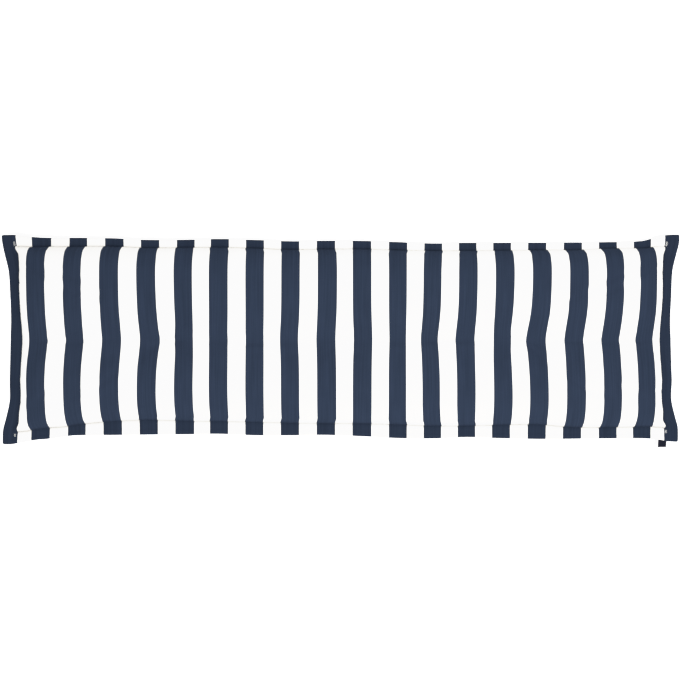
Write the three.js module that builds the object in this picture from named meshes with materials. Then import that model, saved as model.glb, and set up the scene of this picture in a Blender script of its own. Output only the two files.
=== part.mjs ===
// Striped bench cushion with a stitched border, lying on its back.
// Millimetres. +X runs along the cushion, +Y to its back edge, +Z up.
// The origin is on the resting plane, under the middle of the whole part.
import * as THREE from "three";

// Driving dimensions of the cover, flat between its corners
const COVER_LENGTH = 1502;
const COVER_WIDTH = 466;
const BORDER_WIDTH = 26;
const BORDER_THICKNESS = 3;
const BORDER_WAVE = 1.2;
const BORDER_WAVE_LENGTH = 310;

// Heights of the filled body
const SEAM_HEIGHT = 25;
const CROWN_BACK = 31;
const CROWN_FRONT = 26;
const CROWN_BLEND = 60;

// Distance from the seam over which the body rises to its full height
const WALL_AT_ENDS = 63;
const WALL_AT_BACK = 72;
const WALL_AT_FRONT = 101;
const WALL_UNDERNEATH = 66;
const WALL_POWER = 2.5;
const WALL_STEPS = 5;

// Distance from the end seam over which an end is drawn in
const END_REACH = 125;

// The three points where the cushion is stitched through
const TUFTS = [
  { x: -386, y: -2 },
  { x: 1, y: -5 },
  { x: 400, y: -3 },
];
const TUFT_DEPTH = 0.95;
const TUFT_REACH = 45;
const UNDER_TUFT_RISE = 14;
const UNDER_TUFT_REACH = 70;

// The furrow that joins the tufts and runs out to both ends
const FURROW_Y = -3;
const FURROW_REACH = 30;
const FURROW_DEPTH = [
  { x: -725, depth: 0.46 },
  { x: -500, depth: 0.5 },
  { x: -386, depth: 0.45 },
  { x: -190, depth: 0.38 },
  { x: 1, depth: 0.45 },
  { x: 200, depth: 0.4 },
  { x: 400, depth: 0.5 },
  { x: 540, depth: 0.6 },
  { x: 725, depth: 0.62 },
];

// How far each end is drawn in from the cover's full length
const END_PULL = [
  { y: -233, left: 1, right: 2 },
  { y: -205, left: 3, right: 2.5 },
  { y: -178, left: 10, right: 8.5 },
  { y: -134, left: 18.5, right: 18 },
  { y: -90, left: 18, right: 17 },
  { y: 0, left: 21, right: 19.5 },
  { y: 43, left: 23, right: 21.5 },
  { y: 110, left: 19, right: 18 },
  { y: 154, left: 16.5, right: 16 },
  { y: 190, left: 8.5, right: 8 },
  { y: 233, left: 0, right: 0.5 },
];

// How far each long side is drawn in from the cover's full width
const SIDE_PULL = [
  { x: -751, front: 5, back: 2 },
  { x: -725, front: 3, back: 1 },
  { x: -663, front: 10, back: 6 },
  { x: -581, front: 19.5, back: 7 },
  { x: -422, front: 22.5, back: 11 },
  { x: -267, front: 22.5, back: 10 },
  { x: -112, front: 20, back: 14 },
  { x: 48, front: 18.5, back: 13 },
  { x: 205, front: 13, back: 18 },
  { x: 436, front: 12.5, back: 17.5 },
  { x: 668, front: 14, back: 12.5 },
  { x: 725, front: 10, back: 2 },
  { x: 751, front: 12, back: 0.5 },
];

// Mesh steps between the tops of the walls, finer at the tufts and the furrow
const STEPS_ALONG = [
  { to: -440, steps: 9 },
  { to: -332, steps: 8 },
  { to: -53, steps: 11 },
  { to: 55, steps: 8 },
  { to: 346, steps: 11 },
  { to: 454, steps: 8 },
  { to: COVER_LENGTH / 2 - BORDER_WIDTH - WALL_AT_ENDS, steps: 8 },
];
const STEPS_ACROSS = [
  { to: -39, steps: 4 },
  { to: 33, steps: 6 },
  { to: COVER_WIDTH / 2 - BORDER_WIDTH - WALL_AT_BACK, steps: 6 },
];

// Folded label sewn into the front edge, near the right-hand corner
const LABEL_X = 714;
const LABEL_WIDTH = 17.6;
const LABEL_LENGTH = 15.5;
const LABEL_CLOTH = 0.5;
const LABEL_GAP = 0.4;
const LABEL_DROOP = THREE.MathUtils.degToRad(8);
const PIECE_GAP = 0.35;

const SEAM_X = COVER_LENGTH / 2 - BORDER_WIDTH;
const SEAM_Y = COVER_WIDTH / 2 - BORDER_WIDTH;

// Value of one column of a table at a place between its rows, eased from row to row
function tableValue(rows, key, column, place) {
  const last = rows.length - 1;
  if (place <= rows[0][key]) return rows[0][column];
  if (place >= rows[last][key]) return rows[last][column];
  const i = rows.findIndex((row) => row[key] > place) - 1;
  const slope = (k) => {
    const before = rows[Math.max(k - 1, 0)];
    const after = rows[Math.min(k + 1, last)];
    return (after[column] - before[column]) / (after[key] - before[key]);
  };
  const [from, to] = [rows[i], rows[i + 1]];
  const span = to[key] - from[key];
  const t = (place - from[key]) / span;
  const rest = 1 - t;
  return (
    from[column] * rest * rest * (1 + 2 * t) +
    to[column] * t * t * (3 - 2 * t) +
    span * t * rest * (slope(i) * rest - slope(i + 1) * t)
  );
}

// Share of the full height at a distance in from the seam: upright at the seam, level at the top
function wallShare(distance, reach) {
  const left = 1 - THREE.MathUtils.clamp(distance / reach, 0, 1);
  return (1 - left ** WALL_POWER) ** (1 / WALL_POWER);
}

// Distances in from the seam that step evenly round the curve of a wall
function wallStops(reach) {
  const stops = [];
  for (let i = 0; i <= WALL_STEPS; i += 1) {
    const turn = (Math.PI / 2) * (i / WALL_STEPS);
    stops.push(reach * (1 - Math.cos(turn) ** (2 / WALL_POWER)));
  }
  return stops;
}

function falloff(distance, reach) {
  return 1 / Math.cosh(distance / reach);
}

// A point of the flat cover, moved to where the filled cushion holds it
function plan(x, y) {
  const endSide = x < 0 ? "left" : "right";
  const longSide = y < 0 ? "front" : "back";
  const endShare = THREE.MathUtils.clamp((Math.abs(x) - SEAM_X + END_REACH) / END_REACH, 0, 1) ** 2;
  const sideShare = THREE.MathUtils.clamp(Math.abs(y) / SEAM_Y, 0, 1) ** 2;
  const pulledX = x - Math.sign(x) * tableValue(END_PULL, "y", endSide, y) * endShare;
  const pulledY = y - Math.sign(y) * tableValue(SIDE_PULL, "x", longSide, x) * sideShare;
  return [pulledX, pulledY];
}

// Height of the border's middle: it waves a little and hangs towards its outer edge
function borderHeight(x, y) {
  const out = Math.max(Math.abs(x) - SEAM_X, Math.abs(y) - SEAM_Y, 0) / BORDER_WIDTH;
  const turn = (2 * Math.PI * (x + 1.7 * y)) / BORDER_WAVE_LENGTH;
  return SEAM_HEIGHT - out * BORDER_WAVE * (1 + Math.sin(turn));
}

function bodyShare(x, y, back, front) {
  return (
    wallShare(SEAM_X + x, WALL_AT_ENDS) *
    wallShare(SEAM_X - x, WALL_AT_ENDS) *
    wallShare(SEAM_Y + y, front) *
    wallShare(SEAM_Y - y, back)
  );
}

function topHeight(x, y) {
  const toBack = THREE.MathUtils.smoothstep(y, -CROWN_BLEND, CROWN_BLEND);
  const crown = THREE.MathUtils.lerp(CROWN_FRONT, CROWN_BACK, toBack);
  const furrow = tableValue(FURROW_DEPTH, "x", "depth", x) * falloff(y - FURROW_Y, FURROW_REACH);
  let kept = 1 - furrow;
  for (const tuft of TUFTS) {
    kept *= 1 - TUFT_DEPTH * falloff(Math.hypot(x - tuft.x, y - tuft.y), TUFT_REACH);
  }
  const rise = crown * kept * bodyShare(x, y, WALL_AT_BACK, WALL_AT_FRONT);
  return borderHeight(x, y) + BORDER_THICKNESS / 2 + rise;
}

function undersideHeight(x, y) {
  const lower = borderHeight(x, y) - BORDER_THICKNESS / 2;
  let rise = 0;
  for (const tuft of TUFTS) {
    const away = Math.min(Math.hypot(x - tuft.x, y - tuft.y) / UNDER_TUFT_REACH, 1);
    rise += UNDER_TUFT_RISE * (1 - away * away) ** 2;
  }
  return lower * (1 - bodyShare(x, y, WALL_UNDERNEATH, WALL_UNDERNEATH)) + rise;
}

// Grid lines across one direction: border edge, seam, wall, the steps between, wall, seam, edge
function gridLines(seam, wallBefore, wallAfter, stretches) {
  const before = wallStops(wallBefore);
  const after = wallStops(wallAfter);
  const lines = [-seam - BORDER_WIDTH];
  for (const distance of before) lines.push(distance - seam);
  let from = lines[lines.length - 1];
  for (const { to, steps } of stretches) {
    for (let i = 1; i <= steps; i += 1) lines.push(from + ((to - from) * i) / steps);
    from = to;
  }
  for (const distance of after.reverse().slice(1)) lines.push(seam - distance);
  lines.push(seam + BORDER_WIDTH);
  return lines;
}

// The cover's two faces over one grid, closed by the border's edge
function cushionGeometry() {
  const xs = gridLines(SEAM_X, WALL_AT_ENDS, WALL_AT_ENDS, STEPS_ALONG);
  const ys = gridLines(SEAM_Y, WALL_AT_FRONT, WALL_AT_BACK, STEPS_ACROSS);
  const points = [];
  for (const height of [topHeight, undersideHeight]) {
    for (const y of ys) {
      for (const x of xs) points.push(...plan(x, y), height(x, y));
    }
  }
  const [nx, ny] = [xs.length, ys.length];
  const top = (i, j) => j * nx + i;
  const under = (i, j) => nx * ny + j * nx + i;
  const faces = [];
  const quad = (a, b, c, d) => faces.push(a, b, c, a, c, d);
  for (let j = 0; j < ny - 1; j += 1) {
    for (let i = 0; i < nx - 1; i += 1) {
      quad(top(i, j), top(i + 1, j), top(i + 1, j + 1), top(i, j + 1));
      quad(under(i, j), under(i, j + 1), under(i + 1, j + 1), under(i + 1, j));
    }
  }
  for (let i = 0; i < nx - 1; i += 1) {
    quad(under(i, 0), under(i + 1, 0), top(i + 1, 0), top(i, 0));
    quad(top(i, ny - 1), top(i + 1, ny - 1), under(i + 1, ny - 1), under(i, ny - 1));
  }
  for (let j = 0; j < ny - 1; j += 1) {
    quad(top(0, j), top(0, j + 1), under(0, j + 1), under(0, j));
    quad(under(nx - 1, j), under(nx - 1, j + 1), top(nx - 1, j + 1), top(nx - 1, j));
  }
  const geometry = new THREE.BufferGeometry();
  geometry.setAttribute("position", new THREE.Float32BufferAttribute(points, 3));
  geometry.setIndex(faces);
  return geometry;
}

// The label's section: one strip doubled over, its fold outwards, drawn with its ends at zero
function labelGeometry() {
  const outer = LABEL_CLOTH + LABEL_GAP / 2;
  const inner = LABEL_GAP / 2;
  const bend = LABEL_LENGTH - outer;
  const section = new THREE.Shape();
  section.moveTo(0, outer);
  section.lineTo(bend, outer);
  section.absarc(bend, 0, outer, Math.PI / 2, -Math.PI / 2, true);
  section.lineTo(0, -outer);
  section.lineTo(0, -inner);
  section.lineTo(bend, -inner);
  section.absarc(bend, 0, inner, -Math.PI / 2, Math.PI / 2, false);
  section.lineTo(0, inner);
  section.closePath();
  return new THREE.ExtrudeGeometry(section, { depth: LABEL_WIDTH, bevelEnabled: false, curveSegments: 6 });
}

function clothMaterial(colour, roughness) {
  return new THREE.MeshStandardMaterial({ color: colour, roughness, metalness: 0 });
}

const cushion = new THREE.Mesh(cushionGeometry(), clothMaterial(0xf3f1ec, 0.9));
cushion.name = "cushion";

const sideLabel = new THREE.Mesh(labelGeometry(), clothMaterial(0x2b3548, 0.8));
sideLabel.name = "side_label";

// The label's strip points out of the front edge and tips down a little
const labelCorners = [-LABEL_WIDTH / 2, LABEL_WIDTH / 2].map((x) => plan(LABEL_X + x, -COVER_WIDTH / 2));
const labelEdge = Math.min(...labelCorners.map((corner) => corner[1]));
const labelTurn = new THREE.Group();
labelTurn.rotation.set(0, 0, -Math.PI / 2);
sideLabel.rotation.set(Math.PI / 2, LABEL_DROOP, 0, "YXZ");
sideLabel.position.set(0, LABEL_WIDTH / 2, 0);
labelTurn.add(sideLabel);
const labelTilt = (LABEL_CLOTH + LABEL_GAP / 2) * Math.sin(LABEL_DROOP);
const labelHeight = borderHeight(LABEL_X, -COVER_WIDTH / 2);
labelTurn.position.set(LABEL_X, labelEdge - PIECE_GAP - labelTilt, labelHeight);

const group = new THREE.Group();
group.add(cushion, labelTurn);
const box = new THREE.Box3().setFromObject(group, true);
const middle = box.getCenter(new THREE.Vector3());
group.position.set(-middle.x, -middle.y, -box.min.z);
group.updateMatrixWorld(true);

export default group;
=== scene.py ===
"""Striped bench cushion lying on its back: filled cover, stitching, tufts, tacks and label.

Shapes are worked out in millimetres: u along and v across the flat cloth, x and y where it
lies once sewn and filled. They are turned into metres where a mesh is made.
"""

import math

import bpy
import numpy as np
from bpy.props import (
    FloatProperty,
    FloatVectorProperty,
    IntProperty,
    PointerProperty,
)
from bpy.types import Operator, Panel, PropertyGroup
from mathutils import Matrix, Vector


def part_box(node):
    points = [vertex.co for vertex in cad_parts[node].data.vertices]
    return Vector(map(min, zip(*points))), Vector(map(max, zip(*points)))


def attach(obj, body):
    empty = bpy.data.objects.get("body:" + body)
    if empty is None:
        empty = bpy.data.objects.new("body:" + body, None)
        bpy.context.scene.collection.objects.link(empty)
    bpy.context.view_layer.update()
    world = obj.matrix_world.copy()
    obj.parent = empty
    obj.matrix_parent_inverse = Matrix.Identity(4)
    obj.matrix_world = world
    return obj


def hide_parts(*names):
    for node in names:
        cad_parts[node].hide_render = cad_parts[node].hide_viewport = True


bl_info = {
    "name": "Striped bench cushion",
    "version": (1, 0, 0),
    "blender": (4, 5, 0),
    "location": "3D View > Sidebar > Bench cushion",
    "description": "Filled cushion with a striped cover, stitched border, tufts and side label",
    "category": "Add Mesh",
}

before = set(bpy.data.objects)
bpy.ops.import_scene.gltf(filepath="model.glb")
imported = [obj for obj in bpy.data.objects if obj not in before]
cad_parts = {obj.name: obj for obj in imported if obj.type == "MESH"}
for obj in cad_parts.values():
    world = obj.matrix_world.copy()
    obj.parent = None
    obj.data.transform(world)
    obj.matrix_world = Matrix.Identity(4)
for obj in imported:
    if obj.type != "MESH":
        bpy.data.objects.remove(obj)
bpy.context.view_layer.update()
MM = 0.001

# Distance outward from the seam, half the border's thickness; the outer step is the turned edge
BORDER_PROFILE = [
    (0, 0.5),
    (1.2, 0.85),
    (3, 1.15),
    (8, 1.3),
    (17, 1.35),
    (18.5, 1.85),
    (21, 1.95),
    (23.5, 1.85),
    (25, 1.4),
    (25.7, 0.8),
    (26, 0),
]

# The points where the cushion is stitched through, and how far each draws the cloth to itself
TUFTS = [(-386, -2), (1, -5), (400, -3)]
TUFT_DRAW = [2.6, 0.4, 2.4]
TUFT_DRAW_ALONG = 20
TUFT_DRAW_ACROSS = 14

# Whether a panel is the top one, and the way that it faces
BOTH_PANELS = [(True, (0, 0, 1)), (False, (0, 0, -1))]

# Share of the crown's height that a tuft takes, and the width of its hollow on top
TUFT_DEPTH = 0.95
TUFT_REACH = 34

# Height and radius of the hollow under a tuft
UNDER_TUFT_RISE = 14
UNDER_TUFT_REACH = 70

# Where the corners of the border's seam are tacked down, along and across, and how long each is
TACKS = [(-724, 212, 9), (-723, -214, 5), (723, 213, 9), (723, -213.5, 5)]

# Distance from the seam over which the body rises to its full height
WALL_AT_ENDS = 63
WALL_AT_BACK = 72
WALL_AT_FRONT = 101
WALL_UNDERNEATH = 66
WALL_POWER = 2.5

# The front wall is softer at the left, between these places along
SOFT_WALL = 118
SOFT_WALL_POWER = 2
SOFT_WALL_PLACES = (-300, -100)

# How far the cloth creeps close to the seam, and the distances over which it creeps that and all
SEAM_CREEP = 3
SEAM_CREEP_NEAR = 13
SEAM_CREEP_FAR = 60

# Half the width of the strip along the middle where the front half passes into the back half
MIDDLE_BLEND = 60

# Distance from the end seam over which an end is drawn in
END_REACH = 125

# Distances inward of a moved seam over which it moves the body too, at an end and at a side
END_SEAM_REACH = 30
SIDE_SEAM_REACH = 70

# Distance inward of the seam over which a panel comes to stand another millimetre off the middle
PANEL_ROUNDING = 6

# The long waves of the border, from crest to crest, and how far they let its edge hang
BORDER_WAVE = 310
BORDER_HANG = 1.2

# Place along, share of the crown's height that the furrow takes
FURROW_Y = -3
FURROW_REACH = 30
FURROW_DEPTH = [
    (-725, 0.46),
    (-500, 0.5),
    (-386, 0.45),
    (-190, 0.38),
    (1, 0.45),
    (200, 0.4),
    (400, 0.5),
    (540, 0.6),
    (725, 0.62),
]

# Place across, how far the left and the right end are drawn in
END_PULL = [
    (-233, 1, 2),
    (-205, 3, 2.5),
    (-178, 10, 9),
    (-134, 18.5, 18),
    (-90, 17.5, 16.5),
    (0, 20, 18.5),
    (43, 21.5, 20.5),
    (110, 18, 17),
    (154, 15, 14),
    (190, 7, 6),
    (213, 2.4, 0.6),
    (233, 0, 0),
]

# How far the front corners hang out past those of the plain solid
FRONT_CORNERS_OUT = 2.5

# Place along, how far the front and the back side are drawn in
SIDE_PULL = [
    (-751, 1, 1.6),
    (-735, 0.5, 1.2),
    (-720, 2.5, 1.2),
    (-677, 10.3, 6),
    (-650, 12.7, 7.2),
    (-590, 20.2, 7.2),
    (-505, 21.2, 8.9),
    (-425, 22, 12.3),
    (-345, 22.8, 11.5),
    (-267, 23.8, 10),
    (-188, 20.6, 12.6),
    (-112, 20.5, 15.4),
    (-35, 21.5, 13.7),
    (48, 18.5, 14.2),
    (124, 14.5, 17.2),
    (205, 13.5, 20.2),
    (277, 16.7, 18.3),
    (357, 14.1, 18.4),
    (436, 12.5, 18.6),
    (516, 12.9, 18),
    (590, 13.6, 16.8),
    (668, 14, 14.5),
    (705, 11.3, 5),
    (725, 7.6, 1.6),
    (737, 6.5, 0.8),
    (751, 6, 0.5),
]

# Place along the flat cloth, mostly of its dark stripes, then how far the cloth has crept along
# at the front border, on the front crown, in the furrow, on the back crown and at the back border
CREEP = [
    (-751, 0, 0, 0, 0, 0),
    (-725, 6.9, 0, 0, 0, 4),
    (-685, 0.1, -3, -0.2, 0.8, 1.3),
    (-645, 1.8, -0.2, 2.2, 2.7, 4.5),
    (-607, 3.9, 3.3, 4.9, 5.3, 6.8),
    (-587, 3.5, 2.5, 4.5, 5, 6.5),
    (-567, 2.9, 1.4, 4.1, 4.4, 6),
    (-508, 4.5, 4.5, 7, 6.5, 8.5),
    (-430, 6, 7.5, 8.5, 8.5, 9),
    (-372, 6.8, 9.7, 8.2, 10.7, 10.1),
    (-332, 8.6, 10.6, 8.8, 10.5, 9.2),
    (-294, 5.2, 7.5, 6.1, 8.8, 6.7),
    (-274, 5, 7.5, 6, 9, 6.5),
    (-254, 5.3, 8.4, 7.2, 9.8, 6.8),
    (-196, 5, 9, 8.5, 10, 6.5),
    (-117, 5.5, 8, 4.5, 9.5, 6),
    (-59, 6.6, 8.7, 6.4, 10.2, 6.8),
    (-39, 7, 10, 7, 12, 7),
    (-19, 7.4, 10.5, 8.2, 12.2, 7.4),
    (19, 7.6, 8, 10.8, 7.8, 8.1),
    (39, 8.5, 8.5, 12, 7, 8.5),
    (59, 9.4, 9, 11.4, 8.2, 9),
    (117, 10, 7, 9, 7.5, 10.5),
    (196, 8, 2, -1.3, 4, 10),
    (274, 5, 0, -1, 3.5, 8),
    (332, 3.4, 2.2, 4.2, 4.8, 6.4),
    (352, 3, 3, 3.8, 5.2, 6),
    (372, 3.2, 3, 3, 5.8, 5.6),
    (430, 4.5, 2.6, 3, 7.5, 5),
    (508, 4, 5, 4.5, 9.5, 6),
    (587, 5, 6.5, 6.5, 9.5, 5.5),
    (645, 2.6, 2.8, 3.6, 5.5, 4.8),
    (685, 2.5, 1.9, 1.8, 3.6, 2.6),
    (725, -4.5, 0, 0, 0, -4.7),
    (751, 0, 0, 0, 0, 0),
]

# Place along, how far the seam lies outward of the border's usual width at the front and the back
SEAM_SHIFT = [
    (-751, -4, 0.5),
    (-725, 0, 0.8),
    (-685, 3.6, 1.2),
    (-645, 2.2, 3.5),
    (-604, 4.7, 3.5),
    (-565, 0.9, 4.2),
    (-505, -4.1, 5.8),
    (-430, -6.8, 5.9),
    (-350, -4.1, 5.7),
    (-270, -1.7, 4.6),
    (-190, -3.4, 5.2),
    (-115, -1.8, 5.3),
    (-35, 0.3, 4.4),
    (45, -2.1, 4.9),
    (124, -4, 5.9),
    (205, -2, 7.4),
    (277, 0.9, 5.6),
    (357, -3.6, 6.1),
    (436, -6, 7.4),
    (515, 0.5, 7),
    (590, 1.3, 9.1),
    (645, 1.1, 8.7),
    (686, -0.2, 6),
    (725, -2.4, 0),
    (751, -5, 0),
]

# Place across, how far the seam lies inward of the border's usual width at the left and right end
END_SEAM_SHIFT = [
    (-233, 0, 0),
    (-212, 0.5, 0.8),
    (-200, 1.5, 1),
    (-188, 5, 5.8),
    (-160, 2.6, 0.8),
    (-107, 2, -0.4),
    (-44, 2.8, 1.5),
    (2, 2.8, 1.1),
    (48, -0.6, -1.9),
    (93, -0.4, -1.9),
    (137, 1.8, 0.9),
    (167, 5.2, 3.8),
    (187, 6.5, 5.6),
    (200, 0.5, 2.5),
    (212, 0, 0),
    (233, 0, 0),
]

# Place along the flat cloth, how far it slips outward where it climbs an end wall that is drawn
# in by the full slip pull, and the share of it underneath
SLIP_PULL = 20
SLIP_UNDERNEATH = 0.5
END_SLIP = [
    (-725, 0),
    (-685, -9.2),
    (-665, -4.3),
    (-645, -0.9),
    (-610, 0),
    (610, 0),
    (645, 3),
    (665, 7),
    (685, 12.5),
    (725, 0),
]

# Spacing of the cover's grid away from its seams, and of the grid that is simulated
GRID_SPACING = 4.6
SETTLING_SPACING = 6.5

# The folded label: radius of its bend, how far its legs bulge and are pinched together in the
# seam, how far its side edges curl, and how far it goes into the seam
LABEL_BEND = 0.45
LABEL_BULGE = 0.35
LABEL_PINCH = 0.3
LABEL_CURL = 0.5
LABEL_INSIDE = 1.2

# How far a tuft's ties are spread across, and the radius of their thread
TIE_SPREAD = 1.1
TIE_RADIUS = 0.35

# Waves per metre along and across in the cloth's streaks, and both ways in its clouds and fuzz
STREAKS = (300, 7)
CLOUDS = 22
FUZZ = 1400

# Half the floor's side, and how far it lies under the cushion
FLOOR_REACH = 20000
FLOOR_GAP = 0.4

# Length, width and place in metres of the large soft light
LIGHT_SIZE = (3.0, 0.8)
LIGHT_PLACE = (0.2, -0.52, 1.7)

# Light that reaches the camera, brightness shown; the floor lies at the top level
HIGHLIGHT_LEVEL = 1.25
HIGHLIGHT_CURVE = [
    (0.3, 0.3),
    (0.5, 0.55),
    (0.65, 0.78),
    (0.76, 0.912),
    (0.9, 0.958),
    (1.19, 0.976),
]


class CoverSettings(PropertyGroup):
    """Sizes of the filled cover."""

    length: FloatProperty(
        name="Length", description="Length of the flat cover, border included",
        default=1.502, min=0.5, subtype="DISTANCE",
    )
    width: FloatProperty(
        name="Width", description="Width of the flat cover, border included",
        default=0.466, min=0.3, subtype="DISTANCE",
    )
    border_width: FloatProperty(
        name="Border width", description="From the seam to the outer edge",
        default=0.026, min=0.025, max=0.026, subtype="DISTANCE",
    )
    seam_height: FloatProperty(
        name="Seam height", description="Height of the border's middle over the ground",
        default=0.025, min=0.01, subtype="DISTANCE",
    )
    crown_back: FloatProperty(
        name="Crown at the back", description="Height of the back half over the border",
        default=0.031, min=0.0, subtype="DISTANCE",
    )
    crown_front: FloatProperty(
        name="Crown at the front", description="Height of the front half over the border",
        default=0.026, min=0.0, subtype="DISTANCE",
    )
    seam_fold: FloatProperty(
        name="Seam folds", description="Depth of the small folds that run in from the seams",
        default=0.0009, min=0.0, subtype="DISTANCE",
    )
    tuft_fold: FloatProperty(
        name="Tuft folds", description="Depth of the folds round each tuft",
        default=0.0022, min=0.0, subtype="DISTANCE",
    )
    wrinkle: FloatProperty(
        name="Wrinkle limit",
        description="Furthest that the simulated wrinkles may move the cloth",
        default=0.0012, min=0.0, subtype="DISTANCE",
    )
    pressure: FloatProperty(
        name="Filling pressure", description="Pressure of the filling while the cloth settles",
        default=4.0, min=0.0,
    )
    fill: FloatProperty(
        name="Fill", description="How tightly the cushion is filled, from 0 to 1",
        default=0.65, min=0.0, max=1.0, subtype="FACTOR",
    )
    seed: IntProperty(name="Seed", description="Choice of the uneven folds", default=11)


class ClothSettings(PropertyGroup):
    """Colours and weave of the striped cloth."""

    navy: FloatVectorProperty(
        name="Navy stripe", description="Colour of the dark stripes",
        size=3, subtype="COLOR", min=0.0, max=1.0, default=(0.0264, 0.038, 0.0652),
    )
    white: FloatVectorProperty(
        name="White stripe", description="Colour of the light stripes",
        size=3, subtype="COLOR", min=0.0, max=1.0, default=(0.81, 0.796, 0.77),
    )
    stripe_pitch: FloatProperty(
        name="Stripe repeat", description="Width of one navy and one white stripe together",
        default=0.07826, min=0.005, subtype="DISTANCE",
    )
    navy_width: FloatProperty(
        name="Navy width", description="Width of one navy stripe",
        default=0.0399, min=0.001, subtype="DISTANCE",
    )
    # Painted shade: how much darker the border's navy is painted, standing in for the shade on the
    # low border
    painted_border_shade: FloatProperty(
        name="Border shade",
        description="How much darker the navy is in the border's double cloth",
        default=0.22, min=0.0, max=1.0, subtype="FACTOR",
    )
    # Painted shade along the front seam's crease: how far it reaches from the seam and how dark it
    # is
    seam_shade_reach: FloatProperty(
        name="Pucker reach", description="How far the puckers reach from the front seam",
        default=0.0065, min=0.0001, subtype="DISTANCE",
    )
    seam_shade_depth: FloatProperty(
        name="Pucker shade", description="How much the puckers grey the white cloth",
        default=0.38, min=0.0, max=1.0, subtype="FACTOR",
    )
    edge: FloatProperty(
        name="Stripe edge", description="Width over which one stripe changes into the next",
        default=0.0007, min=0.0001, subtype="DISTANCE",
    )
    weave: FloatProperty(
        name="Weave pitch", description="Distance from one yarn to the next",
        default=0.00075, min=0.0002, subtype="DISTANCE",
    )
    underside_shift: FloatProperty(
        name="Underside shift", description="How far the underside's stripes miss those on top",
        default=0.003, subtype="DISTANCE",
    )


class ThreadSettings(PropertyGroup):
    """Stitches of the border seam, the tufts and the corners."""

    dark: FloatVectorProperty(
        name="Dark thread", description="Colour of the border's thread",
        size=3, subtype="COLOR", min=0.0, max=1.0, default=(0.035, 0.045, 0.07),
    )
    light: FloatVectorProperty(
        name="Light thread", description="Colour of the tufts' and tacks' thread",
        size=3, subtype="COLOR", min=0.0, max=1.0, default=(0.82, 0.81, 0.78),
    )
    pitch: FloatProperty(
        name="Stitch pitch", description="Distance from one stitch of the border to the next",
        default=0.0042, min=0.001, subtype="DISTANCE",
    )
    thickness: FloatProperty(
        name="Thread thickness", description="Diameter of the border's thread",
        default=0.00024, min=0.0001, subtype="DISTANCE",
    )
    tack_width: FloatProperty(
        name="Tack width", description="Width of each corner tack",
        default=0.0044, min=0.001, subtype="DISTANCE",
    )
    tie_length: FloatProperty(
        name="Tuft tie length", description="Length of the stitches that hold a tuft",
        default=0.007, min=0.001, subtype="DISTANCE",
    )
    seed: IntProperty(name="Seed", description="Choice of the uneven stitches", default=5)


class LabelSettings(PropertyGroup):
    """The woven strip in the front edge."""

    colour: FloatVectorProperty(
        name="Label colour", description="Colour of the woven strip",
        size=3, subtype="COLOR", min=0.0, max=1.0, default=(0.010, 0.0115, 0.021),
    )
    thickness: FloatProperty(
        name="Strip thickness", description="Thickness of the woven strip",
        default=0.0005, min=0.0001, subtype="DISTANCE",
    )
    rib: FloatProperty(
        name="Rib pitch", description="Distance from one rib of the strip to the next",
        default=0.00032, min=0.0001, subtype="DISTANCE",
    )
    yarn: FloatVectorProperty(
        name="Selvage yarn", description="Colour of the paler yarn along each selvage",
        size=3, subtype="COLOR", min=0.0, max=1.0, default=(0.045, 0.05, 0.07),
    )
    yarn_place: FloatProperty(
        name="Selvage place", description="From the middle of the strip to the paler yarn",
        default=0.0076, min=0.0, subtype="DISTANCE",
    )
    yarn_width: FloatProperty(
        name="Selvage width", description="Width of the paler yarn",
        default=0.00044, min=0.0, subtype="DISTANCE",
    )
    droop: FloatProperty(
        name="Droop", description="How far the strip tips down",
        default=math.radians(8), subtype="ANGLE",
    )


class StageSettings(PropertyGroup):
    """Floor, lights and camera."""

    floor: FloatVectorProperty(
        name="Floor colour", description="Colour of the pale floor",
        size=3, subtype="COLOR", min=0.0, max=1.0, default=(0.93, 0.93, 0.93),
    )
    camera: FloatVectorProperty(
        name="Camera place",
        description="Where the camera hangs over the cushion, looking straight down",
        size=3, subtype="TRANSLATION", default=(-0.00065, -0.1769, 1.475),
    )
    lens: FloatProperty(
        name="Lens", description="Focal length of the camera",
        default=34.65, min=10.0, unit="CAMERA",
    )
    shift: FloatProperty(
        name="Frame shift",
        description="How far the frame is moved towards the cushion's back edge",
        default=0.1187,
    )
    ambient: FloatProperty(
        name="Ambient light", description="Brightness of the light from all round",
        default=0.6, min=0.0,
    )
    key: FloatProperty(
        name="Main light", description="Power of the large soft light",
        default=38.0, min=0.0, unit="POWER",
    )


def table_value(rows, column, place):
    """Value of one column at each place between a table's rows, eased from row to row."""
    rows = np.asarray(rows, float)
    at, value = rows[:, 0], rows[:, column]
    last = len(at) - 1
    before = np.maximum(np.arange(last + 1) - 1, 0)
    after = np.minimum(np.arange(last + 1) + 1, last)
    slope = (value[after] - value[before]) / (at[after] - at[before])
    place = np.clip(place, at[0], at[-1])
    i = np.clip(np.searchsorted(at, place, side="right") - 1, 0, last - 1)
    span = at[i + 1] - at[i]
    t = (place - at[i]) / span
    rest = 1 - t
    return (
        value[i] * rest**2 * (1 + 2 * t)
        + value[i + 1] * t**2 * (3 - 2 * t)
        + span * t * rest * (slope[i] * rest - slope[i + 1] * t)
    )


def smoothstep(value, low, high):
    """From 0 at the low value to 1 at the high one, level at both."""
    t = np.clip((value - low) / (high - low), 0, 1)
    return t * t * (3 - 2 * t)


def wall_share(distance, reach, power=WALL_POWER):
    """Share of the full height, upright at the seam and level at the top."""
    left = 1 - np.clip(distance / reach, 0, 1)
    return (1 - left**power) ** (1 / power)


def falloff(distance, reach):
    """From 1 at no distance down to 0 far away."""
    return 1 / np.cosh(distance / reach)


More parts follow.
